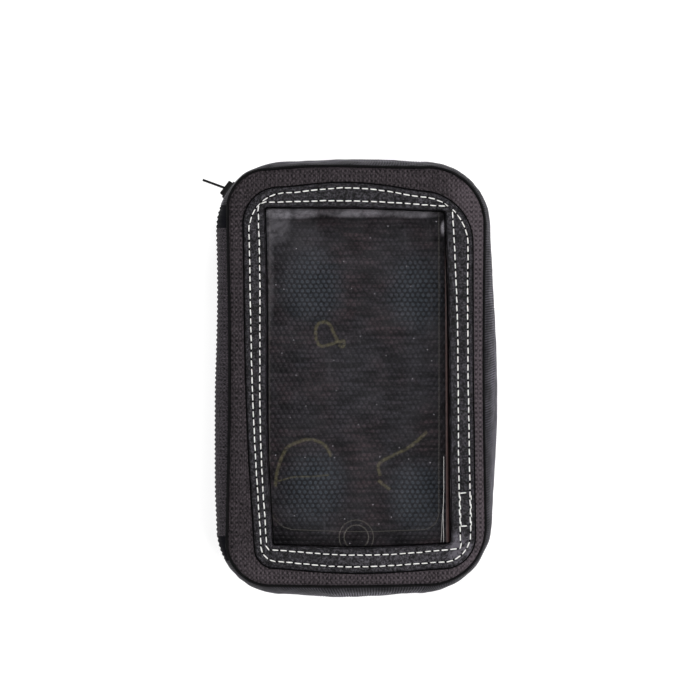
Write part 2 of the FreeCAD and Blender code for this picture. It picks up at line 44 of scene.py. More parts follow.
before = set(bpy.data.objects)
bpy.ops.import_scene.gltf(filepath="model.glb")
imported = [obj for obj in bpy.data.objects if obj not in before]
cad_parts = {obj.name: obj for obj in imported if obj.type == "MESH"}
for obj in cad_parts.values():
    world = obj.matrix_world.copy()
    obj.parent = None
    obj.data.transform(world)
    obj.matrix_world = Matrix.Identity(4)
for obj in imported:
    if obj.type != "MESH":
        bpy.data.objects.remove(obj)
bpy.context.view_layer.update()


# ---------------------------------------------------------------- outlines
# Each outline of the bag, as seen from above: its corners bottom left, bottom right, top right and top left,
# their radii, how far the bottom, right, top and left sides bow outwards, and how far that bow leans to the
# side's far end.
SIDE_POINTS = (150, 300, 150, 300)
CORNER_POINTS = 84
ROUND = 0.5523  # the share of its radius that makes a cubic curve a quarter circle
PIPING = ([(-59.1, -95.7), (60.2, -95.2), (59.6, 97.4), (-58.6, 95.9)],
          (20.5, 27, 26.5, 18), (0.5, -0.7, 1.0, -1.1), (0, 0, 1.2, 0))
LEATHER = ([(-45.8, -87.4), (55.4, -87.6), (53.9, 85.2), (-52.0, 88.2)],
           (9, 15, 23, 18), (2.2, -0.3, 3.0, 1.3), (0, 0, 0, 0.4))
OUTER_ROW = ([(-42.9, -84.3), (53.2, -84.6), (51.7, 82.6), (-49.5, 85.8)],
             (7, 13, 21, 19), (2.3, -0.4, 3.1, 1.2), (-0.4, -0.3, 0, 0.3))
INNER_ROW = ([(-40.6, -79.0), (48.6, -78.6), (44.8, 78.9), (-44.6, 80.9)],
             (2, 2, 2.5, 3.5), (2.6, 0.7, 1.5, 1.2), (0, 1.4, 0, 1.8))
WINDOW = ([(-37.9, -76.9), (44.2, -76.3), (41.6, 77.0), (-41.7, 78.7)],
          (1.2, 1.6, 2, 1.5), (1.3, 0.5, 0.6, 0.9), (0, 0.6, 0, 1.6))
BASE_EDGE = ([(-58.65, -96.5), (58.65, -96.5), (58.65, 96.5), (-58.65, 96.5)],
             (21, 21, 21, 21), (0, 0.2, 0, 0), (0, 0, 0, 0))
SHOULDER = ([(-62.6, -98.8), (62.4, -98.2), (61.4, 98.9), (-62.5, 98.4)],
            (28, 32, 28.5, 27.5), (1.0, 1.0, 0.8, 0.5), (0, 0, 0, 1.4))
WAIST = ([(-63.5, -99.5), (63.3, -98.8), (61.9, 99.6), (-63.7, 99.8)],
         (31.5, 37, 31.5, 32.4), (1.9, 2.7, 1.1, 0.2), (-0.4, -1.0, -0.3, 2.8))


def loop(outline):
    """Points round an outline, anticlockwise from its bottom left, as many on every outline."""
    corners, radii, bows, leans = outline
    corners = [np.array(c, float) for c in corners]
    points = []
    for side in range(4):
        here, there, beyond = (corners[(side + k) % 4] for k in range(3))
        along = (there - here) / np.linalg.norm(there - here)
        after = (beyond - there) / np.linalg.norm(beyond - there)
        radius = radii[(side + 1) % 4]
        start, end = here + along * radii[side], there - along * radius
        u = np.linspace(0, 1, SIDE_POINTS[side], endpoint=False)[:, None]
        out = np.array([along[1], -along[0]])
        bow = (4 * u * (1 - u)) ** 1.4 * (bows[side] + leans[side] * (2 * u - 1))
        points.append(start + (end - start) * u + out * bow)
        u = np.linspace(0, 1, CORNER_POINTS, endpoint=False)[:, None]
        stop = there + after * radius
        first, second = end + along * radius * ROUND, stop - after * radius * ROUND
        curve = end * (1 - u) ** 3 + first * 3 * u * (1 - u) ** 2
        points.append(curve + second * 3 * u**2 * (1 - u) + stop * u**3)
    return np.concatenate(points)


def outward(points):
    """The outward unit normal at each point of a closed loop."""
    along = np.roll(points[:, :2], -1, 0) - np.roll(points[:, :2], 1, 0)
    along /= np.linalg.norm(along, axis=1)[:, None]
    return np.stack([along[:, 1], -along[:, 0]], 1)


def at_height(points, z):
    """Plan points with a height, one for all or one for each."""
    return np.column_stack([points, np.broadcast_to(z, len(points))])


def distance_along(points, closed=False):
    """Distance from the first point to each point, and the whole length when closed."""
    ends = np.concatenate([points, points[:1]]) if closed else points
    return np.concatenate([[0], np.cumsum(np.linalg.norm(np.diff(ends, axis=0), axis=1))])


def through(points):
    """A smooth curve through a few plan points."""
    step = 0.5
    points = np.array(points, float)
    padded = np.concatenate([2 * points[:1] - points[1:2], points, 2 * points[-1:] - points[-2:-1]])
    pieces = []
    for a, b, c, d in zip(padded, padded[1:], padded[2:], padded[3:]):
        t = np.linspace(0, 1, max(2, int(np.linalg.norm(c - b) / step)), endpoint=False)[:, None]
        slope, bend, twist = c - a, 2 * a - 5 * b + 4 * c - d, 3 * b - a - 3 * c + d
        pieces.append(0.5 * (2 * b + slope * t + bend * t**2 + twist * t**3))
    return np.concatenate(pieces + [points[-1:]])


def smooth(t):
    """A share of 0 to 1 that starts and ends gently."""
    t = np.clip(t, 0, 1)
    return t * t * (3 - 2 * t)


def ripple(x, y, size, seed):
    """A soft random surface of about -1 to 1, whose waves are about size long."""
    waves = 9
    rng = np.random.default_rng(seed)
    total = np.zeros(np.broadcast(x, y).shape)
    for _ in range(waves):
        angle, phase = rng.uniform(0, 2 * math.pi, 2)
        length = size * rng.uniform(0.7, 1.8)
        total += np.sin((x * math.cos(angle) + y * math.sin(angle)) * 2 * math.pi / length + phase)
    return total / math.sqrt(waves)


# ---------------------------------------------------------------- meshes
def mesh_object(name, points, faces, material, uv=None):
    """A smooth mesh object from points in mm. uv gives each point's place on the cloth, in mm."""
    mesh = bpy.data.meshes.new(name)
    mesh.from_pydata((np.asarray(points) * MM).tolist(), [], faces)
    mesh.materials.append(material)
    mesh.polygons.foreach_set("use_smooth", np.ones(len(mesh.polygons), bool))
    if uv is not None:
        layer = mesh.uv_layers.new(name="cloth")
        corner = np.zeros(len(mesh.loops), int)
        mesh.loops.foreach_get("vertex_index", corner)
        layer.data.foreach_set("uv", np.asarray(uv, float)[corner].ravel())
    mesh.validate()
    made = bpy.data.objects.new(name, mesh)
    bpy.context.scene.collection.objects.link(made)
    return made


def grid_faces(rows, columns, closed=False):
    """Quads of a grid of points, row by row.

    They face up when each row lies outside the next and runs anticlockwise.
    """
    faces = []
    for r in range(rows - 1):
        for c in range(columns if closed else columns - 1):
            d = (c + 1) % columns
            faces.append((r * columns + c, r * columns + d, (r + 1) * columns + d, (r + 1) * columns + c))
    return faces


def apply_modifiers(thing):
    """Makes what an object's modifiers show its own mesh."""
    bpy.context.view_layer.update()
    seen = thing.evaluated_get(bpy.context.evaluated_depsgraph_get())
    mesh = bpy.data.meshes.new_from_object(seen)
    thing.modifiers.clear()
    thing.data = mesh


def surface(name, rows, material, closed=True, thickness=0.0, offset=-1.0):
    """A cloth through rows of points.

    thickness makes it a closed shell, whose second face lies under the first when offset is -1.
    """
    columns = len(rows[0])
    points = np.concatenate(rows)
    across = np.cumsum([0] + [np.linalg.norm(b - a, axis=1).mean() for a, b in zip(rows, rows[1:])])
    along = distance_along(rows[0])
    uv = np.concatenate([np.column_stack([along, np.full(columns, v)]) for v in across])
    made = mesh_object(name, points, grid_faces(len(rows), columns, closed), material, uv)
    if thickness:
        shell = made.modifiers.new("shell", "SOLIDIFY")
        shell.thickness, shell.offset = thickness * MM, offset
        apply_modifiers(made)
    return made


def tube(name, path, radius, material, sides=10, closed=True, flat=1.0):
    """A round cord along a path of points, whose height is flat times its width."""
    count = len(path)
    along = np.roll(path, -1, 0) - np.roll(path, 1, 0)
    if not closed:
        along[0], along[-1] = path[1] - path[0], path[-1] - path[-2]
    along /= np.linalg.norm(along, axis=1)[:, None]
    side = np.cross(along, [0, 0, 1.0])
    side /= np.linalg.norm(side, axis=1)[:, None]
    up = np.cross(side, along)
    turn = np.linspace(0, 2 * math.pi, sides, endpoint=False)
    ring = [path + (side * math.cos(a) + up * math.sin(a) * flat) * radius for a in turn]
    points = np.stack(ring, 1).reshape(-1, 3)
    faces = []
    for r in range(count if closed else count - 1):
        for c in range(sides):
            here, there = r * sides, (r + 1) % count * sides
            faces.append((here + c, there + c, there + (c + 1) % sides, here + (c + 1) % sides))
    if not closed:
        faces += [tuple(range(sides))[::-1], tuple(range((count - 1) * sides, count * sides))]
    return mesh_object(name, points, faces, material)


def many(name, shape_points, shape_faces, places, material):
    """One mesh of many copies of a small shape. places are pairs of a 3x3 matrix and a point."""
    points = np.concatenate([shape_points @ np.array(turn).T + at for turn, at in places])
    size = len(shape_points)
    faces = [tuple(i + k * size for i in face) for k in range(len(places)) for face in shape_faces]
    return mesh_object(name, points, faces, material)


def capsule(length, width, height, lean=0.0):
    """A stitch along X with blunt ends that slant by lean: its points and faces."""
    sides, rings = 8, 9
    points = []
    for r in range(rings):
        t = -math.cos(math.pi * r / (rings - 1))
        girth = max(1e-3, 1 - abs(t) ** 6) ** 0.5
        for c in range(sides):
            a = 2 * math.pi * c / sides
            y = girth * math.cos(a) * width / 2
            points.append((t * length / 2 + lean * y, y, girth * math.sin(a) * height / 2))
    faces = grid_faces(rings, sides, closed=True)
    faces += [tuple(range(sides)), tuple(range((rings - 1) * sides, rings * sides))[::-1]]
    return np.array(points), [f[::-1] for f in faces]


def frame_at(along, lean=0.0):
    """A matrix whose X runs along a plan direction and whose Z is up, leaning about Z by an angle."""
    angle = math.atan2(along[1], along[0]) + lean
    c, s = math.cos(angle), math.sin(angle)
    return [[c, -s, 0], [s, c, 0], [0, 0, 1]]


# ---------------------------------------------------------------- materials
def linear(*srgb):
    """A colour picked in sRGB, 0 to 255, for a shader socket."""
    shares = (v / 255 / 12.92 if v <= 10 else ((v / 255 + 0.055) / 1.055) ** 2.4 for v in srgb)
    return tuple(shares) + (1.0,)


def shade(colour, share):
    """A darker colour, or a lighter one when share is over 1."""
    return tuple(c * share for c in colour[:3]) + (1,)


class Shader:
    """A Principled material and short ways to add nodes to it. Coordinates are in millimetres."""

    def __init__(self, name, colour, roughness, **more):
        self.material = bpy.data.materials.new(name)
        self.material.use_nodes = True
        self.tree = self.material.node_tree
        self.bsdf = self.tree.nodes["Principled BSDF"]
        self.set("Base Color", colour)
        self.set("Roughness", roughness)
        for socket, value in more.items():
            self.set(socket.replace("_", " "), value)

    def set(self, socket, value):
        target = self.bsdf.inputs[socket]
        if isinstance(value, bpy.types.NodeSocket):
            self.tree.links.new(value, target)
        else:
            target.default_value = value

    def node(self, kind, inputs=(), **settings):
        made = self.tree.nodes.new(kind)
        for key, value in settings.items():
            setattr(made, key, value)
        for key, value in dict(inputs).items():
            if isinstance(value, bpy.types.NodeSocket):
                self.tree.links.new(value, made.inputs[key])
            else:
                made.inputs[key].default_value = value
        return made

    def math(self, operation, a, b=0.0, c=0.0, clamp=False):
        made = self.node("ShaderNodeMath", {0: a, 1: b, 2: c}, operation=operation, use_clamp=clamp)
        return made.outputs[0]

    def place(self, cloth=False):
        """Where a point is, in mm: in the row's frame, or on the cloth."""
        if cloth:
            return self.node("ShaderNodeUVMap", uv_map="cloth").outputs[0]
        made = self.node("ShaderNodeTexCoord").outputs["Object"]
        return self.node("ShaderNodeVectorMath", {0: made, 3: 1 / MM}, operation="SCALE").outputs[0]

    def scaled(self, where, x, y, z):
        """Where a point is, with each coordinate multiplied."""
        return self.node("ShaderNodeVectorMath", {0: where, 1: (x, y, z)}, operation="MULTIPLY").outputs[0]

    def split(self, vector):
        return self.node("ShaderNodeSeparateXYZ", {0: vector}).outputs

    def noise(self, where, size, detail=3.0, rough=0.55, distortion=0.0):
        made = self.node("ShaderNodeTexNoise", {"Vector": where, "Scale": 1 / size, "Detail": detail,
                                                "Roughness": rough, "Distortion": distortion})
        return made.outputs[0]

    def between(self, value, low, high, to_low=0.0, to_high=1.0):
        """to_low at low and below, to_high at high and beyond, and smooth between them."""
        made = self.node("ShaderNodeMapRange", {0: value, 1: low, 2: high, 3: to_low, 4: to_high},
                         interpolation_type="SMOOTHSTEP")
        return made.outputs[0]

    def mix(self, share, a, b):
        made = self.node("ShaderNodeMix", {0: share, 6: a, 7: b}, data_type="RGBA")
        return made.outputs[2]

    def wave(self, value, length):
        """A sine whose waves have this length."""
        return self.math("SINE", self.math("MULTIPLY", value, 2 * math.pi / length))

    def bump(self, height, depth, onto=None):
        """Bump from a height of 0 to 1 that stands for a depth in mm."""
        inputs = {"Height": height, "Distance": depth * MM, "Strength": 1.0}
        if onto is not None:
            inputs["Normal"] = onto
        return self.node("ShaderNodeBump", inputs).outputs[0]

    def blob(self, where, x, y, reach_x, reach_y):
        """1 in the middle of an ellipse, fading to 0 at its edge."""
        px, py = self.split(where)[:2]
        dx = self.math("MULTIPLY", self.math("SUBTRACT", px, x), 1 / reach_x)
        dy = self.math("MULTIPLY", self.math("SUBTRACT", py, y), 1 / reach_y)
        far = self.math("ADD", self.math("MULTIPLY", dx, dx), self.math("MULTIPLY", dy, dy))
        return self.between(far, 1.0, 0.0)


def outer_cloth(name, dark, light, cloth=False):
    """Coarse woven polyester, uneven and a little hairy: floats that cross, in rows that catch the light.

    On the lid's face the ribs run across at the sides and lengthwise at the ends, painted into the colour as
    painted light and shade, and the cloth is painted paler towards the right and the bottom, a painted light
    from the lower right.
    """
    u, v = 1.02, 1.1  # from one float to the next, across and along
    s = Shader(name, dark, 0.8, Specular_IOR_Level=0.15)
    where = s.place(cloth)
    drift = s.math("MULTIPLY_ADD", s.noise(where, 4.0, 3.0), 2.0, -1.0)
    px, py = s.split(where)[:2]
    across = s.math("SINE", s.math("MULTIPLY", s.math("MULTIPLY_ADD", drift, 0.5, px), math.pi / u))
    along = s.math("SINE", s.math("MULTIPLY", s.math("MULTIPLY_ADD", drift, 0.8, py), math.pi / v))
    hump = s.math("MULTIPLY", s.math("POWER", s.math("ABSOLUTE", across), 0.6),
                  s.math("POWER", s.math("ABSOLUTE", along), 0.35))
    up = s.between(s.math("MULTIPLY", across, along), -0.4, 0.45)
    side = s.between(s.math("ABSOLUTE", px), 46.0, 54.0, 0.0, 0.0 if cloth else 1.0)
    columns = s.wave(s.math("ADD", px, drift), 2 * u)
    rows = s.wave(s.math("MULTIPLY_ADD", drift, 0.6, py), 2 * v)
    ribs = s.math("MULTIPLY_ADD", side, s.math("SUBTRACT", rows, columns), columns)
    fibre = s.between(s.noise(s.scaled(where, 1.0, 0.5, 1.0), 0.7, 3.0, 0.75), 0.3, 0.7)
    float_height = s.math("MULTIPLY", hump, s.math("MULTIPLY_ADD", up, 0.6, 0.4))
    height = s.math("MULTIPLY_ADD", fibre, 0.6, s.math("MULTIPLY_ADD", ribs, 0.2, float_height))
    wear_and_painted_light = s.between(s.noise(where, 7.0, 4.0, 0.65), 0.25, 0.75, 0.7, 1.15)
    # Painted light: paler towards the right and the bottom, where the light from the lower right falls.
    if not cloth:
        wear_and_painted_light = s.math("MULTIPLY", wear_and_painted_light, s.between(px, 38.0, 56.0, 1.0, 2.2))
        wear_and_painted_light = s.math("MULTIPLY", wear_and_painted_light, s.between(py, -74.0, -92.0, 1.0, 1.4))
    tone = s.math("MULTIPLY_ADD", s.math("MULTIPLY", hump, up), 0.32, 0.24)
    # The ribs go into the colour here as painted light and shade, with the painted light from the lower
    # right.
    tone = s.math("MULTIPLY", s.math("MULTIPLY_ADD", ribs, 0.1, tone), wear_and_painted_light)
    tone = s.math("MULTIPLY_ADD", s.math("SUBTRACT", fibre, 0.5), 0.5, tone, clamp=True)
    s.set("Base Color", s.mix(tone, dark, light))
    s.set("Normal", s.bump(height, 0.25))
    return s.material


def ribbed_tape(name):
    """Zip tape: fine upright ribs with painted shade in the grooves and painted highlights on the crests, and
    painted shade darker towards the seams.
    """
    s = Shader(name, linear(50, 48, 54), 0.6, Specular_IOR_Level=0.12)
    where = s.place(cloth=True)
    px, py = s.split(where)[:2]
    level = s.math("ABSOLUTE", s.math("SUBTRACT", s.split(s.place())[2], MID_WALL))
    rib = s.math("MULTIPLY_ADD", s.wave(s.math("MULTIPLY_ADD", py, 0.06, px), 1.08), 0.5, 0.5)
    cross = s.math("MULTIPLY_ADD", s.wave(py, 0.9), 0.5, 0.5)
    weave = s.math("MULTIPLY", rib, s.math("MULTIPLY_ADD", cross, 0.3, 0.7))
    patch = s.between(s.noise(where, 7.0, 4.0, 0.65), 0.3, 0.7, 0.35, 1.25)
    # Painted shade: darker towards the seams at the top and bottom of the wall.
    patch = s.math("MULTIPLY", patch, s.between(level, 9.0, 17.0, 1.0, 0.3))
    shine = s.math("MULTIPLY", weave, patch, clamp=True)
    # The rib pattern sets the colour: painted shade in the grooves and painted highlight on the crests.
    s.set("Base Color", s.mix(shine, linear(3, 3, 4), linear(112, 108, 120)))
    s.set("Normal", s.bump(weave, 0.25))
    return s.material


def leather(name, painted_highlights=()):
    """Black PU leather: pebbled grain and soft creases whose raised tops are painted paler, a painted
    highlight for their shine.

    It is painted paler in painted highlights, reflections of the lights, each (x, y, reach, reach, strength).
    """
    s = Shader(name, linear(38, 36, 40), 0.4, Specular_IOR_Level=0.15)
    where = s.place()
    cells = s.node("ShaderNodeTexVoronoi", {"Vector": where, "Scale": 0.6, "Randomness": 1.0},
                   feature="SMOOTH_F1").outputs["Distance"]
    pores = s.noise(where, 1.0, 4.0, 0.8)
    grain = s.math("MULTIPLY_ADD", pores, 0.9, cells)
    crease = s.noise(where, 4.0, 5.0, 0.7, 0.8)
    # Painted highlight: the raised tops of the grain and the creases are painted paler.
    tone = s.math("MULTIPLY_ADD", crease, 0.2, s.math("MULTIPLY", pores, 0.8))
    blotch = s.between(s.noise(where, 2.5, 4.0, 0.75), 0.35, 0.62)
    # Painted highlights: reflections of the lights, painted paler into the colour.
    for x, y, reach_x, reach_y, strength in painted_highlights:
        patch = s.math("MULTIPLY", s.blob(where, x, y, reach_x, reach_y), blotch)
        tone = s.math("MULTIPLY_ADD", patch, strength, tone)
    s.set("Base Color", s.mix(s.between(tone, 0.43, 0.74), linear(2, 2, 3), linear(90, 87, 94)))
    s.set("Roughness", s.between(s.noise(where, 3.0), 0.25, 0.8, 0.28, 0.5))
    s.set("Normal", s.bump(grain, 0.3, s.bump(crease, 0.9)))
    return s.material


def thread(name, colour):
    """Twisted sewing thread."""
    s = Shader(name, colour, 0.6, Sheen_Weight=0.3)
    where = s.place()
    px, py, pz = s.split(where)
    ply = s.wave(s.math("ADD", s.math("ADD", px, py), pz), 0.75)
    s.set("Normal", s.bump(s.math("MULTIPLY_ADD", ply, 0.5, 0.5), 0.08))
    s.set("Base Color", s.mix(s.noise(where, 2.0), shade(colour, 0.82), colour))
    return s.material


def plain(name, colour, roughness, size, depth, spread=0.35, **more):
    """A plain finish whose specks have a size and a depth, and tones that spread by a share of its colour."""
    s = Shader(name, colour, roughness, **more)
    where = s.place()
    speck = s.noise(where, size, 3.0)
    s.set("Base Color", s.mix(speck, shade(colour, 1 - spread), shade(colour, 1 + spread)))
    smooth_share, rough_share = roughness * 0.85, min(1, roughness * 1.15)
    s.set("Roughness", s.between(s.noise(where, size * 6), 0.2, 0.8, smooth_share, rough_share))
    s.set("Normal", s.bump(speck, depth))
    return s.material


def fine_cloth(name, colour):
    """A plain-woven lining with soft folds, painted darker in their hollows and paler on their tops as
    painted shade and highlight.
    """
    pitch = 0.5
    s = Shader(name, colour, 0.85, Specular_IOR_Level=0.25)
    where = s.place()
    px, py, pz = s.split(where)
    warp, weft = (s.wave(s.math("ADD", part, pz), pitch * 2) for part in (px, py))
    cell = s.math("MULTIPLY_ADD", s.math("MULTIPLY", warp, weft), 0.5, 0.5)
    fold = s.noise(where, 16.0, 3.0)
    # Painted shade and highlight: the colour follows the folds.
    s.set("Base Color", s.mix(fold, shade(colour, 0.7), shade(colour, 1.35)))
    s.set("Normal", s.bump(cell, 0.08, s.bump(fold, 0.5)))
    return s.material


def dotted_cloth(name, dark, dot, tint, cool, patches=(), faint=1.0):
    """Non-slip cloth with rows of small raised dots, in patches of warmer and bluer shine.

    patches are the bluer ones, each (x, y, reach). faint is how strongly the dots show outside them.
    """
    pitch = 2.5
    s = Shader(name, dark, 0.5, Specular_IOR_Level=0.15)
    where = s.place()
    plan = s.split(where)
    px = s.math("MULTIPLY_ADD", s.noise(where, 9.0), 1.6, plan[0])
    py = s.math("MULTIPLY_ADD", s.noise(where, 11.0), 1.6, plan[1])
    rows = []
    for k in range(3):
        a = k * math.pi / 3 + math.pi / 2
        turned = s.math("ADD", s.math("MULTIPLY", px, math.cos(a)), s.math("MULTIPLY", py, math.sin(a)))
        rows.append(s.math("COSINE", s.math("MULTIPLY", turned, 4 * math.pi / (math.sqrt(3) * pitch))))
    total = s.math("ADD", s.math("ADD", rows[0], rows[1]), rows[2])
    dots = s.between(total, -1.2, 1.6)
    warm = s.between(s.noise(where, 20.0, 3.0), 0.35, 0.68)
    streak = s.noise(s.scaled(where, 0.2, 1.0, 1.0), 2.4, 4.0)
    shine = s.mix(warm, dot, tint)
    shine = s.mix(s.between(streak, 0.36, 0.64, 0.0, 0.85), shine, dark)
    show = faint
    for x, y, reach in patches:
        patch = s.blob(where, x, y, reach, reach * 1.15)
        shine = s.mix(s.math("MULTIPLY", patch, 0.85), shine, cool)
        show = s.math("MULTIPLY_ADD", patch, 1 - faint, show)
    dots = s.math("MULTIPLY_ADD", s.math("SUBTRACT", dots, 0.4), show, 0.4, clamp=True)
    speckle = s.math("MULTIPLY_ADD", s.noise(where, 1.1, 3.0, 0.7), 1.3, -0.65)
    share = s.math("ADD", s.math("MULTIPLY_ADD", dots, 0.65, 0.2), speckle, clamp=True)
    s.set("Base Color", s.mix(share, dark, shine))
    s.set("Roughness", s.between(dots, 0, 1, 0.75, 0.4))
    s.set("Normal", s.bump(dots, 0.4))
    return s.material


def clear_film(name, haze, tint, wrinkles=0.5, haze_and_painted_reflections=(), pale_specks=0.0):
    """Clear PVC: see-through and glossy, with haze, small pale specks, hazy patches and a painted reflection
    band.

    Each patch is (x, y, reach, reach, strength): haze, and a painted reflection band along the window's top.
    """
    s = Shader(name, tint, 0.12, IOR=1.5, Specular_IOR_Level=0.5)
    where = s.place()
    cloud = s.noise(where, 11.0, 5.0, 0.65, 0.3)
    fine = s.noise(where, 2.2, 3.0)
    scratch = s.noise(s.scaled(where, 1.0, 0.08, 1.0), 1.5, 2.0)
    lines = s.between(scratch, 0.62, 0.8)
    veil = s.math("MULTIPLY_ADD", s.between(cloud, 0.35, 0.7), haze, haze * 0.2)
    veil = s.math("MULTIPLY_ADD", s.math("MULTIPLY", lines, fine), 0.06, veil)
    blotch = s.between(s.noise(where, 5.0, 4.0, 0.6, 0.6), 0.35, 0.65, 0.35, 1.0)
    # Each patch raises the veil, for haze and for the painted reflection band alike.
    for x, y, reach_x, reach_y, strength in haze_and_painted_reflections:
        patch = s.math("MULTIPLY", s.blob(where, x, y, reach_x, reach_y), blotch)
        veil = s.math("MULTIPLY_ADD", patch, strength, veil)
    # Small pale specks scattered over the film.
    nearest = s.node("ShaderNodeTexVoronoi", {"Vector": where, "Scale": 0.06}, voronoi_dimensions="2D")
    veil = s.math("ADD", veil, s.between(nearest.outputs["Distance"], 0.024, 0.008, 0.0, pale_specks))
    s.set("Alpha", s.math("MINIMUM", veil, 0.9))
    s.set("Roughness", s.between(cloud, 0.3, 0.7, 0.06, 0.25))
    s.set("Normal", s.bump(s.noise(where, 9.0, 3.0, 0.5, 1.5), wrinkles, s.bump(fine, 0.02)))
    return s.material


def cling_mark(name, colour):
    """A smear of grease where two films cling: see-through and patchy."""
    s = Shader(name, colour, 0.45, Specular_IOR_Level=0.2)
    where = s.place()
    s.set("Alpha", s.between(s.noise(where, 1.6, 4.0, 0.75), 0.36, 0.62, 0.02, 0.2))
    s.set("Base Color", s.mix(s.noise(where, 3.0), shade(colour, 0.7), colour))
    s.set("Normal", s.bump(s.noise(where, 0.8, 3.0), 0.04))
    return s.material


CLOTH = outer_cloth("outer_cloth", linear(6, 5, 6), linear(84, 76, 81))
SPINE_CLOTH = outer_cloth("spine_cloth", linear(7, 6, 8), linear(96, 89, 96), cloth=True)
TAPE = ribbed_tape("gusset_tape")
# Two painted highlights on the leather: a faint band along the bottom and a bright patch at the lower right
# corner.
LEATHER_SKIN = leather("frame_leather", painted_highlights=[(24, -83, 40, 7, 0.06), (48.5, -78, 7, 9, 0.3)])
THREAD = thread("white_thread", linear(248, 247, 244))
# Near black, for painted shade: in the needle holes, under the leather's outer edge and in the gap inside the
# window.
PAINTED_SHADE = plain("painted_shade_black", linear(6, 6, 7), 0.9, 0.4, 0.02, Specular_IOR_Level=0.05)
PIPING_CLOTH = plain("piping_cloth", linear(5, 5, 6), 0.75, 0.5, 0.06, Specular_IOR_Level=0.1)
TAB_CLOTH = plain("tab_cloth", linear(13, 13, 18), 0.8, 1.6, 0.15, Specular_IOR_Level=0.06)
COIL = plain("zip_coil", linear(112, 110, 118), 0.35, 0.8, 0.03, Specular_IOR_Level=0.7)
LINING = fine_cloth("lining_cloth", linear(46, 46, 50))
DOTTED = dotted_cloth("dotted_cloth", dark=linear(6, 6, 8), dot=linear(50, 48, 54), tint=linear(59, 47, 51),
                      cool=linear(54, 60, 67), faint=0.6,
                      patches=[(-20, 42, 19), (30, 40, 19), (-19.5, -50, 19), (31, -55, 19)])
GRIP = dotted_cloth("grip_cloth", dark=linear(16, 16, 18), dot=linear(46, 45, 49), tint=linear(40, 38, 40),
                    cool=linear(46, 45, 49))
FILM = clear_film("window_film", 0.014, linear(176, 172, 180), pale_specks=0.45,
                  # The first three patches, along the window's top, are a painted reflection band of the
                  # light from above.
                  haze_and_painted_reflections=[(-30, 76, 18, 3.4, 0.28), (2, 76.3, 22, 3.0, 0.25), (28, 75.8, 14, 2.8, 0.22),
                         (40.9, 68.8, 1.8, 4.2, 0.42), (-39.6, 48, 3.0, 36, 0.09), (-36, 70, 8, 10, 0.14),
                         (-26, 58, 14, 22, 0.03)])
SLEEVE = clear_film("sleeve_film", 0.012, linear(150, 150, 158), wrinkles=0.25)
EDGE = plain("film_edge", linear(108, 104, 96), 0.3, 1.0, 0.02, Alpha=0.18)
# Whitish and partly see-through, for painted highlights along the film's creases.
PAINTED_CREASE_HIGHLIGHT = plain("film_crease_highlight", linear(205, 203, 202), 0.25, 2.0, 0.02, Alpha=0.42)
MARGIN = plain("film_margin", linear(56, 38, 36), 0.4, 3.0, 0.05, spread=0.6, Specular_IOR_Level=0.2)
CLING = cling_mark("cling_mark", linear(118, 112, 82))
# Pale, for the painted highlight along the leather's edge at the window.
EDGE_HIGHLIGHT = plain("painted_edge_highlight", linear(78, 76, 82), 0.45, 1.2, 0.04)
FOAM = plain("foam", linear(52, 52, 55), 0.9, 0.5, 0.12)
METAL = plain("slider_metal", linear(9, 9, 10), 0.35, 0.6, 0.02, Specular_IOR_Level=0.4)
LOOP = plain("loop_pile", linear(44, 44, 48), 0.95, 0.35, 0.3)
HOOK = plain("hook_pile", linear(34, 34, 38), 0.6, 0.45, 0.3)
MAGNET = plain("magnet", linear(96, 96, 100), 0.45, 1.0, 0.02, Metallic=0.8)
BOARD = plain("board", linear(48, 48, 52), 0.6, 1.5, 0.03)

BY_NODE = {
    "magnet_foam": FOAM, "lid_foam": FOAM, "base_lining": LINING, "lid_lining": LINING,
    "base_stiffener": BOARD, "loop_patch": LOOP, "hook_patch": HOOK, "closure_tab": CLOTH,
    "slider_body": METAL, "pull_tab": METAL, "zip_top_stop": METAL, "zip_bottom_stop": METAL,
    "magnet_top_left": MAGNET, "magnet_top_right": MAGNET,
    "magnet_bottom_left": MAGNET, "magnet_bottom_right": MAGNET,
}
for node, material in BY_NODE.items():
    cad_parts[node].data.materials.clear()
    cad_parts[node].data.materials.append(material)


# ---------------------------------------------------------------- the lid's face
def rings(outlines, steps, heights):
    """Rows of points between outlines: steps rows in each gap, at the level heights(gap, share) gives."""
    loops = [loop(o) for o in outlines]
    rows = []
    for gap in range(len(loops) - 1):
        last = gap == len(loops) - 2
        for k in range(steps[gap] + (1 if last else 0)):
            share = k / steps[gap]
            plan = loops[gap] * (1 - share) + loops[gap + 1] * share
            rows.append(at_height(plan, heights(gap, share)))
    return rows


def cover_height(gap, share):
    """The cloth puffs up between the piping and the leather, and runs on flat beneath the leather."""
    if gap == 0:
        return 36.9 + 1.45 * math.sin(min(1, share * 3) * math.pi / 2) + 0.3 * math.sin(share * math.pi)
    return LID_TOP - 0.25


cover_rows = rings([PIPING, LEATHER, OUTER_ROW], [22, 3], cover_height)
cover = surface("lid_cover", cover_rows, CLOTH, thickness=1.0)
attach(cover, "lid")
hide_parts("lid_panel")

ROW_DEPTH = 38.8  # where the thread pulls the leather down


def leather_height(gap, share):
    """Turned edges and a soft roll between the rows of stitches, which pull the leather down."""
    if gap == 0:
        edge = 38.35 + 0.85 * min(1, share * 4) ** 0.5
        return edge - 0.4 * smooth((share - 0.55) / 0.45)
    if gap == 1:
        return ROW_DEPTH + 0.6 * math.sin(share * math.pi) ** 0.7
    if gap == 2:
        puff = ROW_DEPTH + 0.75 * math.sin(min(share / 0.75, 1) * math.pi * 0.62) ** 0.8
        return puff - 2.2 * smooth((share - 0.78) / 0.22) ** 1.5
    return 37.0


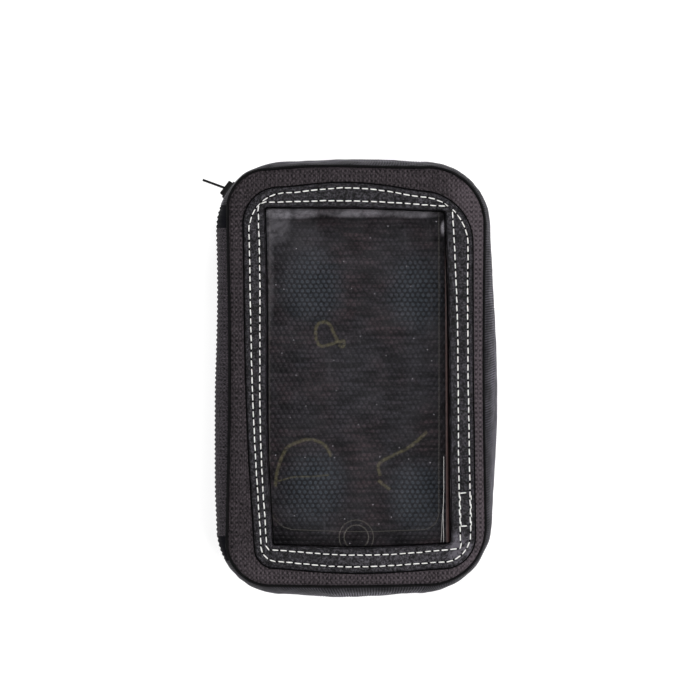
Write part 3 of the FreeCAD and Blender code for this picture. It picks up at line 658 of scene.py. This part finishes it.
def crumple(x, y):
    """How far the leather is creased up or down, in broad, middling and small creases."""
    return sum(amount * ripple(x, y, size, seed) for seed, (size, amount) in
               enumerate([(26, 0.1), (9, 0.1), (4.5, 0.06)]))


leather_rows = rings([LEATHER, OUTER_ROW, INNER_ROW, WINDOW], [8, 14, 16], leather_height)
for row in leather_rows:
    row[:, 2] += crumple(row[:, 0], row[:, 1])
window_frame = surface("window_leather", leather_rows, LEATHER_SKIN, thickness=0.8)
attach(window_frame, "lid")
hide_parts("window_frame")

# Painted light along the leather: a dark tube for the shadow its outer edge casts, a pale tube for the
# highlight on its edge at the window, and a dark tube inside that for the shadow in the gap between leather
# and film: the outline, how far out from it, the level, the radius and the material.
LEATHER_EDGES = {
    # Painted shadow: a dark tube where the leather's outer edge casts shade on the cloth.
    "leather_edge_shadow": (LEATHER, 0.15, 38.5, 0.32, PAINTED_SHADE),
    # Painted highlight: a pale tube for the light on the leather's edge at the window.
    "window_edge_highlight": (WINDOW, 0.3, 37.5, 0.2, EDGE_HIGHLIGHT),
    # Painted shadow: a dark tube for the shade in the gap between the leather and the film.
    "window_gap_shadow": (WINDOW, -0.45, 37.2, 0.3, PAINTED_SHADE),
}
for name, (outline, out, level, radius, material) in LEATHER_EDGES.items():
    plan = loop(outline)
    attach(tube(name, at_height(plan + outward(plan) * out, level), radius, material, sides=8), "lid")


STITCH_PITCH = 3.9


def stitch_row(name, outline, node, extra=()):
    """Stitches along an outline, each leaning a little, with the shade of a needle hole painted as a dark
    lens between each two.

    A stretch at the lower right is sewn over twice. extra are single stitches, each a place and a direction.
    """
    plan = loop(outline)
    total = distance_along(plan, closed=True)
    ends = np.concatenate([plan, plan[:1]])
    count = round(total[-1] / STITCH_PITCH)
    rng = np.random.default_rng(len(name))

    def spot(distance):
        at, before, beyond = (np.array([np.interp(d % total[-1], total, ends[:, k]) for k in (0, 1)])
                              for d in (distance, distance - 1, distance + 1))
        return at, beyond - before

    spots = [spot((k + 0.5) / count * total[-1]) + (0.3, 1.0) for k in range(count)]
    for at, along in (spot((k + 0.1) / count * total[-1]) for k in range(count)):
        if at[0] > 40 and -70 < at[1] < -54:
            spots.append((at + np.array([0.5, 0]), along, 0.42, 0.7))
    spots += [(np.array(at, float), np.array(along, float), 0.75, 1.0) for at, along in extra]
    places = []
    for at, along, lift, size in spots:
        turn = np.array(frame_at(along, rng.normal(0.03, 0.025))) * rng.normal(size, 0.04)
        at = at + rng.normal(0, 0.05, 2)
        places.append((turn, [*at, ROW_DEPTH + crumple(*at) + lift]))
    made = many(name, *capsule(2.95, 0.55, 0.55, lean=-0.5), places, THREAD)
    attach(made, "lid")
    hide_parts(node)
    # Painted shade: a dark lens on the leather for the shade in each needle hole.
    hole_shade_places = []
    for k in range(count):
        at, along = spot(k / count * total[-1])
        hole_shade_places.append((frame_at(along), [*at, ROW_DEPTH + crumple(*at) + 0.12]))
    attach(many(name + "_hole_shade", *capsule(1.25, 0.95, 0.34), hole_shade_places, PAINTED_SHADE), "lid")


stitch_row("stitching_inner", INNER_ROW, "stitches_inner")
stitch_row("stitching_outer", OUTER_ROW, "stitches_outer",
           extra=[((49.6, -52.7), (1, 0.06)), ((50.0, -68.0), (1, 0.02))])

piping = tube("lid_piping_cord", at_height(loop(PIPING), 37.5), 0.62, PIPING_CLOTH)
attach(piping, "lid")
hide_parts("lid_piping")

base_cord = tube("base_piping_cord", at_height(loop(BASE_EDGE), 1.45), 0.95, PIPING_CLOTH)
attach(base_cord, "base")
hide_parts("base_piping")


# ---------------------------------------------------------------- window, sleeve and phone pocket
def sheet_grid(low, high, step, level):
    """A flat grid of points with a level from level(x, y): its rows."""
    xs = np.arange(low[0], high[0] + step / 2, step)
    ys = np.arange(high[1], low[1] - step / 2, -step)
    return [np.column_stack([xs, np.full(len(xs), y), level(xs, np.full(len(xs), y))]) for y in ys]


def film_level(x, y):
    """The window's film: slack, with a crease down each side and one across near the top."""
    level = 36.9 + 0.16 * ripple(x, y, 55, 21) + 0.07 * ripple(x, y * 0.5, 13, 22)
    level += 0.35 * np.exp(-((x + 39.6) / 0.55) ** 2) + 0.45 * np.exp(-((x - 40.8 + 0.004 * y) / 0.45) ** 2)
    level += 0.25 * np.exp(-((y - 74.5 - 0.6 * np.sin(x / 6)) / 0.8) ** 2)
    return level


film = surface("window_sheet", sheet_grid((-44.5, -80), (45.5, 80.5), 0.6, film_level), FILM, closed=False)
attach(film, "lid")
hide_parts("window_film")

# Painted highlights: pale lines along creases in the film, for the light they catch: where each starts and
# ends, in plan, and its radius.
CREASES = [
    ((40.9, -36), (40.6, -75.5), 0.17),
    ((40.3, -60), (39.6, -75.5), 0.1),
    ((-40.6, 40), (-40.4, 4), 0.08),
]
for number, (start, end, radius) in enumerate(CREASES):
    line = np.linspace(start, end, 60)
    line[:, 0] += 0.12 * ripple(0, line[:, 1], 14, 61 + number)
    path = np.column_stack([line, film_level(line[:, 0], line[:, 1]) + 0.02])
    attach(tube(f"film_crease_highlight_{number + 1}", path, radius, PAINTED_CREASE_HIGHLIGHT, sides=6, closed=False), "lid")

# The film's hem, which shows as a brown strip down the window's right side.
margin_across = np.array([41.6, 42.6, 45.2])
margin_rows = [np.column_stack([margin_across - 0.004 * y, np.full(3, y), np.full(3, 36.55)])
               for y in np.linspace(70, -78, 60)]
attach(surface("film_margin", margin_rows, MARGIN, closed=False, thickness=0.2), "lid")

# Where the film clings to the sleeve, faint lines: each one's radius and the plan points it goes through.
CLINGS = [
    (0.85, [(-7.8, 17.0), (-11.5, 15.4), (-16.1, 14.9), (-18.0, 18.6), (-17.6, 24.0), (-14.6, 25.8),
            (-11.6, 24.4), (-7.8, 17.0), (-5.2, 17.2), (-5.4, 14.4), (-7.6, 15.4)]),
    (0.85, [(-36.8, -50), (-35.4, -41.4), (-31.7, -32.7), (-26.5, -29.6), (-20.7, -28.3), (-14.3, -30.6),
            (-10.8, -36.0)]),
    (0.85, [(11.5, -45.1), (11.0, -39.6), (17, -35.9), (23.5, -32.7), (28.1, -29.4), (33.1, -24.8)]),
    (0.85, [(10.6, -47.0), (13, -49), (16.1, -51.4)]),
    (0.4, [(-35.5, -47.5), (-28, -45.6), (-20, -45.4), (-12, -44.6)]),
]
for number, (radius, points) in enumerate(CLINGS):
    line = through(points)
    path = np.column_stack([line, film_level(line[:, 0], line[:, 1]) - 0.35])
    made = tube(f"cling_line_{number + 1}", path, radius, CLING, sides=6, closed=False, flat=0.3)
    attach(made, "lid")

SLEEVE_EDGE = ([(-39.2, -69.9), (38.6, -69.9), (38.6, 80.5), (-39.2, 80.5)],
               (12, 8, 2, 2), (0.8, 0.1, 0, 0.1), (0, 0, 0, 0))
THUMB_X, THUMB_Y = 0.6, -73.3  # the middle of the sleeve's thumb hole


def sleeve_rows():
    """Rings from the sleeve's edge in to its middle."""
    edge = loop(SLEEVE_EDGE)
    middle = edge.mean(0)
    rows = []
    for share in np.linspace(0, 1, 40):
        plan = edge * (1 - share * 0.999) + middle * share * 0.999
        rows.append(at_height(plan, 35.9 + 0.12 * ripple(plan[:, 0], plan[:, 1], 40, 31)))
    return rows


sleeve = surface("sleeve_sheet", sleeve_rows(), SLEEVE)
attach(sleeve, "lid")
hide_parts("sleeve_film")
rim = tube("sleeve_rim", at_height(loop(SLEEVE_EDGE), 36.05), 0.16, EDGE, sides=6)
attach(rim, "lid")
for name, radius, width in (("thumb_hole_rim", 5.6, 0.3), ("thumb_hole_flange", 7.9, 0.22)):
    angle = np.linspace(0, 2 * math.pi, 72, endpoint=False)
    ring = np.column_stack([THUMB_X + radius * np.cos(angle), THUMB_Y + radius * np.sin(angle)])
    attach(tube(name, at_height(ring, 36.1), width, EDGE, sides=6), "lid")


def back_level(x, y):
    """The cloth behind the phone swells towards its middle, and isn't quite even."""
    swell = 1.2 * np.clip(1 - (x / 46) ** 2, 0, 1) * np.clip(1 - ((y - 5) / 84) ** 2, 0, 1)
    return 27.1 + swell + 0.12 * ripple(x, y, 30, 41)


back_rows = sheet_grid((-44, -84), (44, 84), 0.8, back_level)
back = surface("pocket_cloth", back_rows, DOTTED, closed=False, thickness=0.8)
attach(back, "lid")
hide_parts("pocket_back")


# ---------------------------------------------------------------- walls, spine and zip
waist_loop = loop(WAIST)
COUNT = len(waist_loop)
LEFT = sum(SIDE_POINTS[:3]) + 2 * CORNER_POINTS  # the first point of the top left corner


def index_at(y):
    """The first point down the spine side that is no higher than y."""
    return LEFT + int(np.argmax(waist_loop[LEFT:, 1] <= y))


# Where the spine and the tabs at its two ends start and stop, as point numbers round the waist.
SPINE = (index_at(69.5), index_at(-73.0))
TAB_TOP = (index_at(81.8), SPINE[0])
TAB_BOTTOM = (SPINE[1], index_at(-85.6))


def levelled(outline):
    """An outline whose points on the spine side are level with the waist's, so that seams there are straight.

    They are fully level up to 87 mm from the middle, and not at all past 94 mm.
    """
    points = loop(outline)
    first = LEFT - CORNER_POINTS
    part, goal = points[first:], waist_loop[first:, 1]
    level = np.column_stack([np.interp(-goal, -part[:, 1], part[:, 0]), goal])
    share = smooth((94 - np.abs(goal)) / (94 - 87))[:, None]
    points[first:] = part * (1 - share) + level * share
    return points


SHOULDER_SHARE = 0.38  # how far down the wall its shoulder is


def wall_rows(edge, edge_height, waist_height, out, steps=26):
    """Rows of points from the panel's seam, over the shoulder, to the zip, in steps rows.

    edge is the outline at the seam, and the rows swell out from it by out.
    """
    top, middle, low = levelled(edge), levelled(SHOULDER), waist_loop
    height = edge_height + (waist_height - edge_height) * SHOULDER_SHARE
    bend = 2 * middle - (top + low) / 2
    bend_height = 2 * height - (edge_height + waist_height) / 2
    rows = []
    for t in np.linspace(0, 1, steps):
        plan = top * (1 - t) ** 2 + bend * 2 * t * (1 - t) + low * t**2
        level = edge_height * (1 - t) ** 2 + bend_height * 2 * t * (1 - t) + waist_height * t**2
        rows.append(at_height(plan + outward(plan) * (out * math.sin(min(1, t * 4) * math.pi / 2)), level))
    return rows


def stretch(rows, first, last):
    """The part of each row from one point to another, running on past the end of the loop."""
    reach = np.arange(first, last if last > first else last + COUNT + 1) % COUNT
    return [row[reach] for row in rows]


def crumpled_wall(rows, seed):
    """The rows of a wall pushed in and out by broad and small creases."""
    amount = 0.16
    for row in rows:
        push = amount * ripple(row[:, 0] + row[:, 1], row[:, 2] * 2, 16, seed)
        push += amount * 0.5 * ripple(row[:, 0] - row[:, 1], row[:, 2] * 2, 6, seed + 1)
        row[:, :2] += outward(row) * push[:, None]
    return rows


lid_wall = crumpled_wall(wall_rows(PIPING, 36.9, ZIP + 0.9, 0.0), 51)
base_wall = crumpled_wall(wall_rows(BASE_EDGE, 2.4, ZIP - 0.9, 0.0), 53)
for name, rows, width, body, node in (("lid_gusset", lid_wall, 17.8, "lid", "zip_tape_lid"),
                                      ("base_gusset", base_wall[::-1], 18.6, "base", "zip_tape_base")):
    kept = stretch(rows, TAB_BOTTOM[1] - 4, TAB_TOP[0] + 4)
    made = surface(name, kept[::-1], TAPE, closed=False, thickness=0.7, offset=1.0)
    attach(made, body)
    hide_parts(node)


def spine_piece(name, span, material, nodes):
    """Fabric from the base's seam up to the lid's, folding at the hinge line."""
    weave, rib = 0.55, 2.2  # how far the weave's ribs stand out, and from one to the next
    low = wall_rows(BASE_EDGE, 2.6, ZIP, 0.4, 40)
    high = wall_rows(PIPING, 36.8, ZIP, 0.4, 40)
    rows = stretch(low[:-1] + high[::-1], *span)
    along = distance_along(rows[len(rows) // 2])
    for row in rows:
        bumps = np.sin(along * math.pi / rib) ** 2
        row[:, 0] = np.maximum(row[:, 0], HINGE_X + 0.1 + weave) - weave * bumps
    made = surface(name, rows, material, closed=False, thickness=1.0, offset=-1.0)
    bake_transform(made)
    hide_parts(*nodes)


spine_piece("spine_fabric", SPINE, SPINE_CLOTH, ("spine_base", "spine_lid"))
spine_piece("zip_end_tab_top", (TAB_TOP[0], TAB_TOP[1] + 2), TAB_CLOTH,
            ("zip_tab_top_base", "zip_tab_top_lid"))
spine_piece("zip_end_tab_bottom", (TAB_BOTTOM[0] - 2, TAB_BOTTOM[1]), TAB_CLOTH,
            ("zip_tab_bottom_base", "zip_tab_bottom_lid"))


def coil_side(name, body, node, first, last, side):
    """One side of the zip: a row of nylon loops, each wound round the tape's edge. side is 1 up, -1 down."""
    pitch, nylon = 1.25, 0.36  # from one loop to the next, and the nylon's radius
    reach = np.arange(first, last if last > first else last + COUNT) % COUNT
    plan, normal = waist_loop[reach], outward(waist_loop)[reach]
    total = distance_along(plan)
    count = int(total[-1] / pitch)
    turn = np.linspace(-0.55 * math.pi, 0.55 * math.pi, 7)
    sides = 6
    shape = []
    for a in turn:
        middle = np.array([0, 0.7 * math.cos(a) - 0.1, 1.1 * math.sin(a)])
        radial = np.array([0, math.cos(a), math.sin(a)])
        for c in range(sides):
            b = 2 * math.pi * c / sides
            shape.append(middle + nylon * (radial * math.cos(b) + np.array([1, 0, 0]) * math.sin(b)))
    faces = grid_faces(len(turn), sides, closed=True)
    faces += [tuple(range(sides))[::-1], tuple(range((len(turn) - 1) * sides, len(turn) * sides))]
    places = []
    for k in range(count):
        d = (k + (0.25 if side > 0 else 0.75)) * total[-1] / count
        at = [np.interp(d, total, plan[:, i]) for i in (0, 1)]
        out = np.array([np.interp(d, total, normal[:, i]) for i in (0, 1)])
        out /= np.linalg.norm(out)
        matrix = np.array([[-out[1], out[0], 0], [out[0], out[1], 0], [0, 0, side]]).T
        places.append((matrix, [at[0], at[1], ZIP + side * 1.52]))
    made = many(name, np.array(shape), faces, places, COIL)
    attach(made, body)
    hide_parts(node)


coil_side("coil_lid", "lid", "zip_coil_lid", TAB_BOTTOM[1], index_at(94.2), 1)
coil_side("coil_base", "base", "zip_coil_base", TAB_BOTTOM[1], TAB_TOP[0], -1)


# ---------------------------------------------------------------- underside
BASE_FLAT = (0.1156, 0.1912)  # the base cloth's width and length as cut, in metres
BASE_CORNER = 20.5
MAGNET_X, MAGNET_Y = 27, 52  # the magnets, each way from the middle


def panel_rows(half_width, half_length, corner, steps, level):
    """Rings from the edge of a panel with rounded corners in to its middle."""
    corners = [(-half_width, -half_length), (half_width, -half_length), (half_width, half_length),
               (-half_width, half_length)]
    edge = loop((corners, (corner,) * 4, (0,) * 4, (0,) * 4))
    rows = []
    for share in np.linspace(0, 0.999, steps):
        plan = edge * (1 - share)
        rows.append(at_height(plan, level(plan[:, 0], plan[:, 1])))
    return rows


def underside(x, y):
    """Flat on the tank, with soft hollows between the magnets and a turned-up edge."""
    magnets = [(sx * MAGNET_X, sy * MAGNET_Y) for sx in (-1, 1) for sy in (-1, 1)]
    near = sum(np.exp(-(((x - mx) ** 2 + (y - my) ** 2) / 420)) for mx, my in magnets)
    edge = smooth((np.maximum(np.abs(x) / 57.6, np.abs(y) / 95.4) - 0.94) / 0.06)
    return 0.25 * (1 - np.clip(near * 1.6, 0, 1)) + 0.5 * edge


half_width, half_length = (size / 2 / MM for size in BASE_FLAT)
grip_rows = panel_rows(half_width, half_length, BASE_CORNER, 90, underside)
grip = surface("base_cloth", grip_rows[::-1], GRIP, thickness=1.6)
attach(grip, "base")
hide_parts("base_panel")


# ---------------------------------------------------------------- studio
floor_shader = Shader("floor_paper", (0.35, 0.35, 0.35, 1), 0.9,
                      Emission_Color=(1, 1, 1, 1), Emission_Strength=0.82)
REACH, UNDER = 4000, -0.05  # the floor's half width, and its height, just under the cloth
floor_corners = [(x * REACH, y * REACH, UNDER) for x, y in ((-1, -1), (1, -1), (1, 1), (-1, 1))]
mesh_object("floor", floor_corners, [(0, 1, 2, 3)], floor_shader.material)

world = bpy.data.worlds.new("studio")
bpy.context.scene.world = world
world.use_nodes = True
sky = world.node_tree
where = sky.nodes.new("ShaderNodeTexCoord")
height = sky.nodes.new("ShaderNodeSeparateXYZ")
fade = sky.nodes.new("ShaderNodeMapRange")
sky.links.new(where.outputs["Generated"], height.inputs[0])
sky.links.new(height.outputs[2], fade.inputs[0])
# The sky's strength falls from 0.55 low down to 0.04 overhead.
for socket, value in {"From Min": 0.2, "From Max": 0.9, "To Min": 0.55, "To Max": 0.04}.items():
    fade.inputs[socket].default_value = value
background = sky.nodes["Background"]
sky.links.new(fade.outputs[0], background.inputs["Strength"])


def softbox(name, at, size, power):
    """A round soft light, aimed at the bag. Metres and watts."""
    light = bpy.data.lights.new(name, "AREA")
    light.shape, light.size, light.energy = "DISK", size, power
    made = bpy.data.objects.new(name, light)
    bpy.context.scene.collection.objects.link(made)
    made.location = at
    made.rotation_mode = "QUATERNION"
    made.rotation_quaternion = (-Vector(at)).to_track_quat("-Z", "Y")


softbox("key", (0.35, 1.0, 1.1), 0.7, 18)
softbox("fill", (-1.1, -0.1, 0.9), 0.9, 10)
softbox("low", (1.0, -0.8, 0.9), 0.8, 20)

camera = bpy.data.objects.new("camera", bpy.data.cameras.new("camera"))
bpy.context.scene.collection.objects.link(camera)
LENS, SENSOR = 180, 36
camera.data.lens = LENS
camera.data.sensor_width = SENSOR
camera.data.clip_start, camera.data.clip_end = 0.05, 20
PICTURE, FACE = 0.322, 0.038  # metres across the picture at the lid's face, and the height of that face
AIM = (-0.0023, 0.0129)  # what the middle of the picture shows
camera.location = (*AIM, FACE + PICTURE / 2 / (SENSOR / 2 / LENS))
bpy.context.scene.camera = camera
bpy.context.scene.view_settings.view_transform = "Standard"
